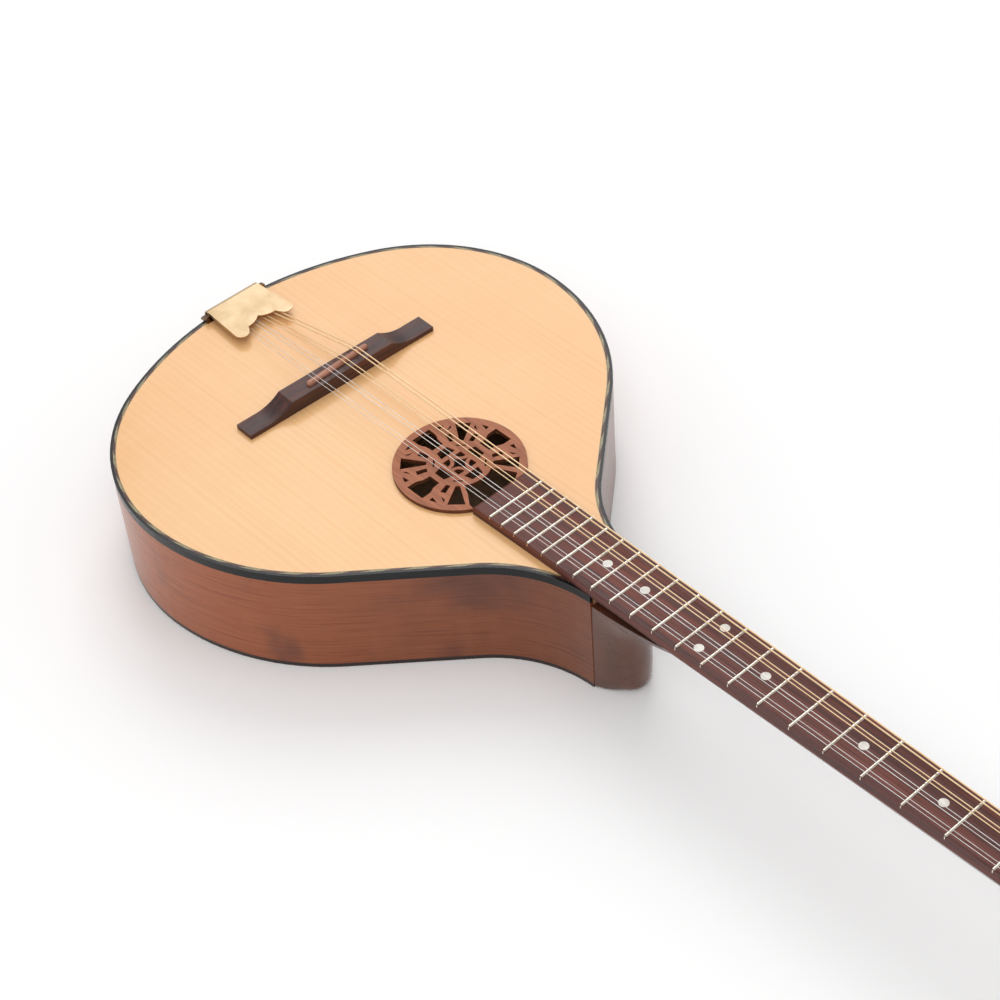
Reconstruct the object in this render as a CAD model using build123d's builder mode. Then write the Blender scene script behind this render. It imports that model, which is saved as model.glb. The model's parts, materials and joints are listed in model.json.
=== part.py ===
"""Eight-string flat-backed bouzouki with a teardrop body, a floating bridge and a stamped tailpiece.

The instrument lies on its back. X runs along the neck towards the head, Y points to the bass side
and Z rises out of the soundboard. Lengths along the neck are given as stations: distances from the
nominal bridge line, positive towards the head. at() turns a station into the X of the model.
"""

import os
from math import cos, radians, sin

from build123d import *

# ---- driving dimensions, mm -------------------------------------------------------------------

scale_length = 650.0
fret_count = 23
body_depth = 80.0

# Half outline of the body, from the tail along the bass side to the neck.
tail_station = -113.2
tail_radius, tail_turn = 219.9, 28.28
bout_radius, bout_turn = 123.5, 65.20
shoulder_radius, shoulder_turn = 154.1, 45.57
shoulder_flat = 83.8
flare_radius, flare_turn = 91.8, 46.89
neck_joint = 257.2

plate_thickness = 3.0
side_thickness = 2.6
binding_width, binding_height = 1.6, 6.0
purfling_width, purfling_depth = 2.3, 1.5
lining_width, lining_height = 6.0, 8.0

board_end = 157.0
board_thickness = 7.0
board_half_nut = 15.0
board_taper = 0.01559
fret_crown, fret_width = 1.0, 2.2
tang_width, tang_depth = 0.6, 2.0

head_tilt = 14.0
head_length = 148.0
head_thickness = 15.0
headplate_thickness = 2.0
head_start = scale_length + 5.0

end_pin_reach = 13.0
head_tip = head_start + head_length * cos(radians(head_tilt)) + headplate_thickness * sin(radians(head_tilt))
saddle_x = -(tail_station - end_pin_reach + head_tip) / 2

deck = body_depth
board_top = deck + board_thickness

rosette_station, rosette_radius, rosette_thickness = 119.8, 42.1, 2.8
sound_hole_radius = 39.5

bridge_half_length, bridge_width, bridge_height, bridge_foot = 75.5, 15.0, 10.0, 3.4
bridge_skew = -1.2
saddle_station, saddle_shift, saddle_skew = -0.1, 1.5, 2.4
saddle_width, saddle_half_length, saddle_top = 4.2, 26.0, 12.7

post_spacing, first_post, post_offset = 26.0, 44.0, 21.0
post_radius, bushing_radius = 3.0, 4.0
running_fit = 0.05
worm_offset = 9.6
gear_radius, gear_thickness, gear_teeth = 6.2, 4.0, 14

# String radius of each course, thin one first, then spacings of the strings across the neck.
string_radii = (0.165, 0.21, 0.32, 0.46)
tail_spacing, course_gap_saddle, course_gap_nut = 3.3, 3.0, 2.3
course_step_saddle, course_step_nut = 12.1, 8.1
string_shift_saddle, string_shift_nut = 0.6, 0.0
hook_station, hook_height = -104.0, 1.25
string_saddle_height, string_nut_height = saddle_top + 0.08, 8.15
string_gap = 0.05

parts = []


def at(station):
    """X of a station along the neck."""
    return saddle_x + station


def keep(part, label):
    """Label a finished sub-part and remember it for export."""
    part.label = label
    parts.append(part)


def board_half(station):
    """Half width of the fretboard at a station."""
    return board_half_nut + (scale_length - station) * board_taper


def fret_station(number):
    """Station of a fret in equal temperament."""
    return scale_length * 2 ** (-number / 12)


def head_plane(along=0.0, across=0.0, height=0.0):
    """Plane on the head: X along the head, Z out of its face."""
    tilt = radians(head_tilt)
    x = at(head_start) + along * cos(tilt) + height * sin(tilt)
    z = deck - along * sin(tilt) + height * cos(tilt)
    return Plane(origin=(x, across, z), x_dir=(cos(tilt), 0, -sin(tilt)), z_dir=(sin(tilt), 0, cos(tilt)))


def section_plane(station):
    """Plane across the neck at a station: its X is the model's Y, its Y is the model's Z."""
    return Plane(origin=(at(station), 0, 0), x_dir=(0, 1, 0), z_dir=(1, 0, 0))


# ---- body outline ------------------------------------------------------------------------------


def outline_face(inset):
    """Flat face inside the body outline, moved in by inset all round. Arcs stay exact parallels."""
    start = (at(tail_station) + inset, 0)
    with BuildSketch(mode=Mode.PRIVATE) as face:
        with BuildLine():
            tail = JernArc(start=start, tangent=(0, 1), radius=tail_radius - inset, arc_size=-tail_turn)
            bout = JernArc(start=tail @ 1, tangent=tail % 1, radius=bout_radius - inset, arc_size=-bout_turn)
            shoulder = JernArc(
                start=bout @ 1, tangent=bout % 1, radius=shoulder_radius - inset, arc_size=-shoulder_turn
            )
            flat = Line(shoulder @ 1, shoulder @ 1 + (shoulder % 1) * shoulder_flat)
            flare = JernArc(start=flat @ 1, tangent=flat % 1, radius=flare_radius + inset, arc_size=flare_turn)
            ending = Line(flare @ 1, flare @ 1 + (flare % 1) * 5)
            to_axis = Line(ending @ 1, ((ending @ 1).X, 0))
            Line(to_axis @ 1, start)
        make_face()
        mirror(about=Plane.XZ)
        with Locations((at(neck_joint) - 300, 0)):
            Rectangle(600, 400, mode=Mode.INTERSECT)
    return face.sketch


def ring_face(outer, inner):
    """Band between two insets of the body outline."""
    return outline_face(outer) - outline_face(inner)


def slab(first, last, low, high, half=200.0):
    """Box tool across the body between two stations and two heights."""
    centre = (at((first + last) / 2), 0, (low + high) / 2)
    return Pos(*centre) * Box(last - first, 2 * half, high - low, mode=Mode.PRIVATE)


def body_top():
    """Soundboard with its sound hole, the purfling let into its edge and the binding round it."""
    rim = binding_width + purfling_width
    with BuildPart() as soundboard:
        with BuildSketch(Plane.XY.offset(deck - plate_thickness)):
            add(outline_face(binding_width))
        extrude(amount=plate_thickness - purfling_depth)
        with BuildSketch(Plane.XY.offset(deck - purfling_depth)):
            add(outline_face(rim))
        extrude(amount=purfling_depth)
        with Locations((at(rosette_station), 0, deck)):
            Hole(radius=sound_hole_radius, depth=plate_thickness)
    keep(soundboard.part, "soundboard")

    with BuildPart() as purfling:
        with BuildSketch(Plane.XY.offset(deck - purfling_depth)):
            add(ring_face(binding_width, rim))
        extrude(amount=purfling_depth)
    keep(purfling.part, "soundboard_purfling")

    with BuildPart() as binding:
        with BuildSketch(Plane.XY.offset(deck - binding_height)):
            add(ring_face(0, binding_width))
        extrude(amount=binding_height)
    keep(binding.part, "top_binding")


def body_sides():
    """Two bent sides that meet on the centre line, rebated along the top for the binding."""
    for name, direction in (("side_bass", 1), ("side_treble", -1)):
        with BuildPart() as side:
            with BuildSketch(Plane.XY.offset(plate_thickness)):
                add(ring_face(0, side_thickness))
            extrude(amount=deck - binding_height - plate_thickness)
            with BuildSketch(Plane.XY.offset(deck - binding_height)):
                add(ring_face(binding_width, side_thickness))
            extrude(amount=binding_height - plate_thickness)
            with Locations(Plane(origin=(at(tail_station) - 1, 0, end_pin_height), z_dir=(-1, 0, 0))):
                Hole(radius=end_pin_shank, depth=side_thickness + 2)
            split(bisect_by=Plane.XZ, keep=Keep.BOTTOM if direction > 0 else Keep.TOP)
        keep(side.part, name)


def body_back():
    """Flat back plate."""
    with BuildPart() as back:
        with BuildSketch():
            add(outline_face(0))
        extrude(amount=plate_thickness)
    keep(back.part, "back_plate")


block_start = 205.0
tail_block_length, tail_block_half = 22.0, 34.0
tenon_length, tenon_half, tenon_low, tenon_high = 16.0, 9.0, 22.0, 74.0


def body_frame():
    """Blocks, linings and braces inside the body."""
    low, high = plate_thickness, deck - plate_thickness
    lining_inset = side_thickness + lining_width
    brace_inset = lining_inset + 0.3
    tail_end = tail_station + tail_block_length

    with BuildPart() as neck_block:
        with BuildSketch(Plane.XY.offset(low)):
            add(outline_face(side_thickness))
        extrude(amount=high - low)
        add(slab(block_start, neck_joint + 1, low - 1, high + 1), mode=Mode.INTERSECT)
        add(slab(neck_joint - tenon_length, neck_joint + 1, tenon_low, high + 1, tenon_half), mode=Mode.SUBTRACT)
    keep(neck_block.part, "neck_block")

    with BuildPart() as tail_block:
        with BuildSketch(Plane.XY.offset(low)):
            add(outline_face(side_thickness))
        extrude(amount=high - low)
        add(slab(tail_station, tail_end, low - 1, high + 1, tail_block_half), mode=Mode.INTERSECT)
        with Locations(Plane(origin=(at(tail_station), 0, end_pin_height), z_dir=(-1, 0, 0))):
            Hole(radius=end_pin_shank, depth=end_pin_depth)
    keep(tail_block.part, "tail_block")

    for name, floor in (("back_linings", low), ("top_linings", high - lining_height)):
        with BuildPart() as linings:
            with BuildSketch(Plane.XY.offset(floor)):
                add(ring_face(side_thickness, lining_inset))
            extrude(amount=lining_height)
            add(slab(block_start, neck_joint + 1, 0, deck), mode=Mode.SUBTRACT)
            add(slab(tail_station - 1, tail_end, 0, deck, tail_block_half), mode=Mode.SUBTRACT)
        keep(linings.part, name)

    with BuildPart() as top_braces:
        with BuildSketch(Plane.XY.offset(high - brace_height)):
            for station in top_brace_stations:
                with Locations((at(station), 0)):
                    Rectangle(brace_width, brace_length)
            for across in tone_bar_places:
                with Locations((at(tone_bar_centre), across)):
                    Rectangle(tone_bar_length, brace_width)
        extrude(amount=brace_height)
        add(extrude(outline_face(brace_inset), amount=deck, mode=Mode.PRIVATE), mode=Mode.INTERSECT)
    keep(top_braces.part, "top_braces")

    with BuildPart() as back_braces:
        with BuildSketch(Plane.XY.offset(low)):
            for station in back_brace_stations:
                with Locations((at(station), 0)):
                    Rectangle(back_brace_width, brace_length)
        extrude(amount=brace_height)
        add(extrude(outline_face(brace_inset), amount=deck, mode=Mode.PRIVATE), mode=Mode.INTERSECT)
    keep(back_braces.part, "back_braces")


brace_width, brace_height, back_brace_width, brace_length = 7.0, 9.0, 14.0, 3 * bout_radius
top_brace_stations = (68.0, 176.0)
back_brace_stations = (-55.0, 30.0, 170.0)
tone_bar_centre, tone_bar_length, tone_bar_places = -12.0, 120.0, (-42.0, 42.0)
end_pin_height, end_pin_shank, end_pin_depth = 36.0, 3.0, 18.0

# ---- rosette -----------------------------------------------------------------------------------

hub_outer = 20.6
cross_bar, cross_place, corner_radius, corner_bar = 3.0, 9.0, 4.9, 2.4


def polar(radius, angle):
    """Point at a radius and an angle in degrees."""
    return (radius * cos(radians(angle)), radius * sin(radians(angle)))


def rosette_openings():
    """Pierced openings of the rosette, drawn round its centre."""
    with BuildSketch(mode=Mode.PRIVATE) as holes:
        # One wide opening at each quarter, except where the fretboard comes in.
        for turn in (90, 180, 270):
            with Locations(Rotation(0, 0, turn)):
                edge = [(37.0, 7.0), (31.0, 6.9), (28.5, 6.2), (26.5, 5.0), (24.0, 4.6), (20.7, 4.4)]
                Polygon(*edge, *[(x, -y) for x, y in reversed(edge)], align=None)
        # A tapered slot on each diagonal, wider beside the treble edge of the fretboard.
        for turn, half in ((45, 5.1), (135, 5.1), (225, 5.1), (315, 5.6)):
            with Locations(Rotation(0, 0, turn)):
                Polygon((37.0, -half), (37.0, half), (20.8, 1.4), (20.8, -1.4), align=None)
        # Small pierced shapes either side of every tapered slot.
        for turn in (45, 135, 225, 315):
            for side in (-1, 1):
                if abs((turn + side * 45) % 360) < 1:
                    continue
                with Locations(Rotation(0, 0, turn)):
                    Polygon(
                        polar(20.8, side * 12.5),
                        polar(20.8, side * 20.6),
                        polar(27.7, side * 22.3),
                        polar(27.8, side * 15.0),
                        align=None,
                    )
                    Polygon(
                        polar(35.8, side * 12.6),
                        polar(33.4, side * 12.4),
                        polar(31.2, side * 18.2),
                        align=None,
                    )
                    Polygon(
                        polar(36.9, side * 18.8),
                        polar(33.9, side * 26.2),
                        polar(37.0, side * 27.0),
                        align=None,
                    )
        # The gap in front of the fretboard, narrower on the side of the thick strings.
        Polygon(
            polar(hub_outer, -34),
            (24.6, -15.2),
            (32.0, -20.6),
            (rosette_radius, -22.0),
            (rosette_radius, 13.0),
            (35.6, 13.8),
            (32.2, 18.9),
            polar(hub_outer, 33),
            polar(hub_outer, 17),
            polar(hub_outer, 0),
            polar(hub_outer, -17),
            align=None,
        )
        # Four windows between the cross bars and the hub ring.
        frame = cross_place + cross_bar / 2 + 0.2
        for turn in (0, 90, 180, 270):
            with Locations(Rotation(0, 0, turn)):
                Polygon((16.8, -4.2), (16.8, 4.2), (frame, 5.8), (frame, -5.8), align=None)
        # Thin slits behind the corners of the square.
        for turn in (45, 135, 225, 315):
            with Locations(Rotation(0, 0, turn)):
                Polygon((16.7, -3.0), (16.7, 3.0), (15.6, 3.4), (15.6, -3.4), align=None)
        # The square in the middle: four quarter discs and a star between them.
        half = cross_place - cross_bar / 2
        add(square_tracery(half))
    return holes.sketch


def square_tracery(half):
    """Openings inside the middle square: a quarter disc in each corner and a hollow-sided star."""
    corners = [(x * half, y * half) for x in (-1, 1) for y in (-1, 1)]
    square = Rectangle(2 * half, 2 * half, mode=Mode.PRIVATE)
    star = square
    quarters = None
    for corner in corners:
        star = star - Pos(*corner) * Circle(corner_radius + corner_bar, mode=Mode.PRIVATE)
        disc = square & (Pos(*corner) * Circle(corner_radius, mode=Mode.PRIVATE))
        quarters = disc if quarters is None else quarters + disc
    return star + quarters


def rosette():
    """Pierced wooden disc glued over the sound hole, notched round the end of the fretboard."""
    gap = 0.1
    notch_half = board_half(board_end) + gap
    with BuildPart() as disc:
        with BuildSketch(Plane.XY.offset(deck)):
            with Locations((at(rosette_station), 0)):
                Circle(rosette_radius)
                add(rosette_openings(), mode=Mode.SUBTRACT)
            with Locations((at(board_end - gap) + 10, 0)):
                Rectangle(20, 2 * notch_half, mode=Mode.SUBTRACT)
        extrude(amount=rosette_thickness)
    keep(disc.part, "rosette")


# ---- bridge ------------------------------------------------------------------------------------

bridge_shoulder, bridge_toe = 41.0, 61.0
saddle_crown = 1.7


def level_plane(station, across, height, skew):
    """Level plane turned by a few degrees about its origin."""
    turn = radians(skew)
    return Plane(origin=(at(station), across, height), x_dir=(cos(turn), sin(turn), 0), z_dir=(0, 0, 1))


def saddle_plane(height):
    """Plane of the saddle: slanted the other way from the bridge, so that thick strings are longer."""
    return level_plane(saddle_station, saddle_shift, height, saddle_skew)


def bridge():
    """Floating bridge: a raised middle block, scooped wings and flat feet, with a saddle let in."""
    skewed = level_plane(0, 0, deck, bridge_skew)
    across = Plane(origin=skewed.origin, x_dir=skewed.y_dir, z_dir=skewed.x_dir)
    slot_depth = 3.0
    with BuildPart() as block:
        with BuildSketch(across):
            with BuildLine():
                Line((0, 0), (bridge_half_length, 0))
                Line((bridge_half_length, 0), (bridge_half_length, bridge_foot))
                Line((bridge_half_length, bridge_foot), (bridge_toe, bridge_foot))
                ThreePointArc(
                    (bridge_toe, bridge_foot),
                    ((bridge_toe + bridge_shoulder) / 2 - 1.2, (bridge_foot + bridge_height) / 2 - 1.5),
                    (bridge_shoulder, bridge_height),
                )
                Line((bridge_shoulder, bridge_height), (0, bridge_height))
                Line((0, bridge_height), (0, 0))
            make_face()
            mirror(about=Plane.YZ)
        extrude(amount=bridge_width / 2, both=True)
        with BuildSketch(saddle_plane(deck + bridge_height)):
            SlotOverall(2 * saddle_half_length, saddle_width, rotation=90)
        extrude(amount=-slot_depth, mode=Mode.SUBTRACT)
    keep(block.part, "bridge")

    with BuildPart() as saddle:
        with BuildSketch(saddle_plane(deck + bridge_height - slot_depth)):
            SlotOverall(2 * saddle_half_length, saddle_width, rotation=90)
        extrude(amount=slot_depth + saddle_top - bridge_height)
        top_rim = saddle.faces().sort_by(Axis.Z)[-1].edges()
        fillet(top_rim, radius=saddle_crown)
    keep(saddle.part, "bridge_saddle")


# ---- tailpiece ---------------------------------------------------------------------------------

cover_half, cover_front, cover_cusp, cover_small_cusp = 22.0, -71.5, -83.0, -78.5
cover_top, cover_metal, cover_bend, cover_drop = 6.4, 0.8, 5.0, 66.0
cover_back = tail_station - 2.1
cover_lip, lip_front = 2.6, -77.0
lip_back, lip_wide = cover_half - 0.78, cover_half + 1.45
base_metal, base_half, base_low, base_front = 0.8, 15.0, 22.0, -98.0
screw_heights = (58.0, 48.0)
cheek_front, cheek_top, cheek_round, cheek_inner, cheek_outer = -107.0, 5.6, 8.6, 22.4, 24.8
cheek_turn = 70


def cover_outline():
    """Plan of the tailpiece cover: straight back, a lobe at each front corner, a cusp in the middle."""
    with BuildSketch(mode=Mode.PRIVATE) as plan:
        with BuildLine():
            Line((at(cover_back), 0), (at(cover_back), cover_half - 1))
            Line((at(cover_back), cover_half - 1), (at(-76.5), cover_half + 1.5))
            ThreePointArc((at(-76.5), cover_half + 1.5), (at(cover_front), 18.8), (at(-74.6), 13.6))
            ThreePointArc((at(-74.6), 13.6), (at(-76.6), 12.2), (at(cover_small_cusp), 11.6))
            ThreePointArc((at(cover_small_cusp), 11.6), (at(-79.4), 5.6), (at(cover_cusp), 0))
            Line((at(cover_cusp), 0), (at(cover_back), 0))
        make_face()
        mirror(about=Plane.XZ)
    return plan.sketch


def tailpiece():
    """Stamped cover over an angle bracket that is screwed to the tail and carries the string hooks."""
    top = deck + cover_top
    side_view = Plane.XZ
    with BuildPart() as cover:
        with BuildSketch(side_view):
            with BuildLine():
                back, low = at(cover_back), cover_drop
                edge = FilletPolyline(
                    (at(cover_front) + 1, top), (back, top), (back, low), radius=cover_bend, close=False
                )
                inner = FilletPolyline(
                    (at(cover_front) + 1, top - cover_metal),
                    (back + cover_metal, top - cover_metal),
                    (back + cover_metal, low),
                    radius=cover_bend - cover_metal,
                    close=False,
                )
                Line(edge @ 0, inner @ 0)
                Line(edge @ 1, inner @ 1)
            make_face()
        extrude(amount=cover_half + 2, both=True)
        with BuildSketch():
            add(cover_outline())
        extrude(amount=deck + cover_top + 1, mode=Mode.INTERSECT)
        for direction in (-1, 1):
            with BuildSketch(Plane.XY.offset(top - cover_lip)):
                with BuildLine():
                    Polyline(
                        (at(tail_station + 2), direction * lip_back),
                        (at(lip_front), direction * lip_wide),
                        (at(lip_front), direction * (lip_wide - cover_metal)),
                        (at(tail_station + 2), direction * (lip_back - cover_metal)),
                        close=True,
                    )
                make_face()
            extrude(amount=cover_lip - cover_metal / 2)
    keep(cover.part, "tailpiece_cover")

    outer = at(tail_station) - 0.2
    with BuildPart() as base:
        with BuildSketch(Plane.XZ):
            with BuildLine():
                Polyline(
                    (at(base_front), deck),
                    (at(base_front), deck + base_metal),
                    (outer - base_metal, deck + base_metal),
                    (outer - base_metal, base_low),
                    (outer, base_low),
                    (outer, deck),
                    close=True,
                )
            make_face()
        extrude(amount=base_half, both=True)
        with BuildSketch(Plane.XY.offset(deck)):
            with Locations(((at(cheek_front) + outer) / 2, 0)):
                Rectangle(at(cheek_front) - outer, 2 * cheek_outer)
        extrude(amount=base_metal)
        for direction in (-1, 1):
            with BuildSketch(Plane.XZ.offset(-direction * cheek_outer)):
                with BuildLine():
                    Polyline((outer, deck), (at(cheek_front), deck), (at(cheek_front), deck + cheek_top))
                    JernArc((at(cheek_front), deck + cheek_top), (-1, 0), cheek_round, cheek_turn)
                    turn = radians(cheek_turn)
                    low = (
                        at(cheek_front) - cheek_round * sin(turn),
                        deck + cheek_top - cheek_round * (1 - cos(turn)),
                    )
                    Polyline(low, (outer, low[1]), (outer, deck))
                make_face()
            extrude(amount=direction * (cheek_outer - cheek_inner))
        for place in tail_places():
            with BuildSketch(Plane.XY.offset(deck + base_metal)):
                with Locations((at(hook_station - 1.4), place)):
                    Rectangle(1.6, 1.8)
            extrude(amount=2.4)
        for height in screw_heights:
            with Locations(Plane(origin=(outer - base_metal, 0, height), z_dir=(-1, 0, 0))):
                Hole(radius=screw_radius, depth=base_metal)
        with Locations(Plane(origin=(outer - base_metal, 0, end_pin_height), z_dir=(-1, 0, 0))):
            Hole(radius=end_pin_shank, depth=base_metal)
    keep(base.part, "tailpiece_base")

    with BuildPart() as screws:
        for height in screw_heights:
            out = Plane(origin=(outer - base_metal, 0, height), z_dir=(-1, 0, 0))
            with BuildSketch(out):
                Circle(screw_head)
            extrude(amount=screw_head_height)
            with BuildSketch(out):
                Circle(screw_radius)
            extrude(amount=-base_metal)
            with BuildSketch(out.offset(screw_head_height)):
                Rectangle(2 * screw_head, 0.7)
            extrude(amount=-0.7, mode=Mode.SUBTRACT)
    keep(screws.part, "tailpiece_screws")

    with BuildPart() as end_pin:
        with BuildSketch(Plane(origin=(at(tail_station), 0, end_pin_height), x_dir=(-1, 0, 0), z_dir=(0, 1, 0))):
            with BuildLine():
                start = 0.2 + base_metal
                Polyline(
                    (-end_pin_depth, 0),
                    (-end_pin_depth, end_pin_shank),
                    (start, end_pin_shank),
                    (start, 6.5),
                    (start + 1.6, 6.5),
                    (start + 2.4, 4.2),
                    (start + 6.0, 4.0),
                    (end_pin_reach - 2.6, 7.0),
                    (end_pin_reach - 1.2, 7.2),
                    (end_pin_reach, 5.8),
                    (end_pin_reach, 0),
                    close=True,
                )
            make_face()
        revolve(axis=Axis((at(tail_station), 0, end_pin_height), (1, 0, 0)))
    keep(end_pin.part, "end_pin")


screw_radius, screw_head, screw_head_height = 1.4, 2.8, 1.3

# ---- neck --------------------------------------------------------------------------------------

neck_depth_body, neck_depth_nut = 14.0, 12.3
heel_low, heel_half = 1.0, 20.6
# Heel sections: height above the back, reach beyond the joint and radius of the nose.
heel_sections = (
    (heel_low, 21.5, 11.5),
    (3.5, 23.0, 12.4),
    (7.5, 23.7, 12.8),
    (13.0, 24.0, 13.0),
    (24.0, 24.1, 13.2),
    (42.0, 24.3, 13.2),
    (53.0, 27.0, 13.4),
    (61.0, 34.0, 13.8),
    (67.0, 49.0, 14.2),
    (71.0, 72.0, 14.6),
)
rod_half, rod_depth = 3.0, 9.0


def neck_section(half, depth):
    """Rounded neck section: flat under the fretboard, one arc round the back."""
    with BuildSketch(mode=Mode.PRIVATE) as section:
        with BuildLine():
            ThreePointArc((-half, deck), (0, deck - depth), (half, deck))
            Line((half, deck), (-half, deck))
        make_face()
    return section.sketch


def heel_plan(reach, nose):
    """Plan of the heel at one height: sides that draw in to a round nose."""
    joint = at(neck_joint)
    centre = joint + reach - nose
    turn = radians(62)
    shoulder = (centre + nose * cos(turn), nose * sin(turn))
    with BuildSketch(mode=Mode.PRIVATE) as plan:
        with BuildLine():
            Line((joint, -heel_half), (joint, heel_half))
            middle = ((joint + shoulder[0]) / 2 + 0.7, (heel_half + shoulder[1]) / 2 + 1.2)
            ThreePointArc((joint, heel_half), middle, shoulder)
            ThreePointArc(shoulder, (joint + reach, 0), (shoulder[0], -shoulder[1]))
            ThreePointArc((shoulder[0], -shoulder[1]), (middle[0], -middle[1]), (joint, -heel_half))
        make_face()
    return plan.sketch


def head_outline():
    """Plan of the head on its own plane."""
    with BuildSketch(mode=Mode.PRIVATE) as plan:
        with BuildLine():
            Line((0, 0), (0, board_half_nut))
            flare = Spline((0, board_half_nut), (30, 33.5), tangents=[(1, 0.15), (1, 0.10)])
            side = Line(flare @ 1, (132, 37.0))
            crown = ThreePointArc(side @ 1, (142, 27), (140, 16))
            ThreePointArc(crown @ 1, (145.5, 7.5), (head_length, 0))
            Line((head_length, 0), (0, 0))
        make_face()
        mirror(about=Plane.XZ)
    return plan.sketch


def post_places():
    """Number, place along and across the head, and side of each post. Treble string is number one."""
    places = []
    for index in range(4):
        along = first_post + post_spacing * index
        places.append((index + 1, along, -post_offset, -1))
        places.append((8 - index, along, post_offset, 1))
    return places


def neck():
    """One-piece neck: tenon, rounded heel, tapered shaft, volute and tilted head."""
    with BuildPart() as body:
        volute = scale_length - 12
        shaft_sections = (
            (neck_joint, board_half(neck_joint) - 0.1, neck_depth_body),
            (volute, board_half(volute) - 0.1, neck_depth_nut),
            (head_start + 16, board_half_nut + 1.4, 22.0),
        )
        for first, second in zip(shaft_sections, shaft_sections[1:]):
            for station, half, depth in (first, second):
                with BuildSketch(section_plane(station)):
                    add(neck_section(half, depth))
            loft(ruled=True)
        for height, reach, nose in heel_sections:
            with BuildSketch(Plane.XY.offset(height)):
                add(heel_plan(reach, nose))
        loft()
        with BuildSketch(head_plane()):
            add(head_outline())
        extrude(amount=-head_thickness)
        above_head = head_plane(head_length / 2, 0, 20.0) * Box(head_length, 120, 40, mode=Mode.PRIVATE)
        add(above_head, mode=Mode.SUBTRACT)
        add(slab(neck_joint - tenon_length, neck_joint, tenon_low, tenon_high, tenon_half))
        for _, along, across, _ in post_places():
            with Locations(head_plane(along, across)):
                Hole(radius=bushing_radius, depth=head_thickness)
        add(rod_channel(), mode=Mode.SUBTRACT)
    keep(body.part, "neck")

    with BuildPart() as headplate:
        with BuildSketch(head_plane()):
            add(head_outline())
            for _, along, across, _ in post_places():
                with Locations((along, across)):
                    Circle(bushing_radius, mode=Mode.SUBTRACT)
        extrude(amount=headplate_thickness)
    keep(headplate.part, "headplate")


rod_start, rod_end = neck_joint + 12.0, scale_length - 6.0


def rod_channel():
    """Slot under the fretboard that holds the truss rod."""
    return slab(rod_start, rod_end, deck - rod_depth, deck + 0.5, rod_half)


def truss_rod():
    """Two-way truss rod in the neck, and the cover plate in front of the nut."""
    with BuildPart() as rod:
        add(slab(rod_start, rod_end, deck - rod_depth, deck - rod_depth + 3.0, rod_half - 0.2))
        centre = Plane(origin=(at(rod_start), 0, deck - 3.2), z_dir=(1, 0, 0))
        with BuildSketch(centre):
            Circle(2.6)
        extrude(amount=rod_end - rod_start)
        add(slab(rod_start, rod_start + 14, deck - rod_depth, deck - 0.6, rod_half - 0.2))
        add(slab(rod_end - 14, rod_end, deck - rod_depth, deck - 0.6, rod_half - 0.2))
    keep(rod.part, "truss_rod")

    with BuildPart() as cover:
        with BuildSketch(head_plane(0, 0, headplate_thickness)):
            with BuildLine():
                Polyline((4, 6.5), (4, -6.5), (22, -6.5))
                ThreePointArc((22, -6.5), (31, 0), (22, 6.5))
                Line((22, 6.5), (4, 6.5))
            make_face()
        extrude(amount=1.6)
        for along, across in rod_cover_screws:
            with Locations(head_plane(along, across, headplate_thickness + 1.6)):
                Hole(radius=0.9, depth=1.6)
    keep(cover.part, "truss_rod_cover")

    with BuildPart() as screws:
        for along, across in rod_cover_screws:
            face = head_plane(along, across, headplate_thickness + 1.6)
            with BuildSketch(face):
                Circle(1.8)
            extrude(amount=0.8)
            with BuildSketch(face):
                Circle(0.9)
            extrude(amount=-1.6)
    keep(screws.part, "truss_cover_screws")


rod_cover_screws = ((6.5, 4.0), (6.5, -4.0), (26.5, 0.0))

# ---- fretboard ---------------------------------------------------------------------------------

marker_radius, marker_depth, double_marker_spread = 3.0, 1.5, 10.6
marker_frets = (3, 5, 7, 10, 15, 17)
board_roundover = 3.6
nut_thickness, nut_top = 4.6, 8.4
string_break = scale_length + nut_thickness + 0.5


def marker_places():
    """Places of the dots, midway between frets, two abreast at the octave."""
    places = []
    for number in marker_frets:
        places.append(((fret_station(number) + fret_station(number - 1)) / 2, 0.0))
    octave = (fret_station(12) + fret_station(11)) / 2
    places.append((octave, double_marker_spread))
    places.append((octave, -double_marker_spread))
    return places


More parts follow.
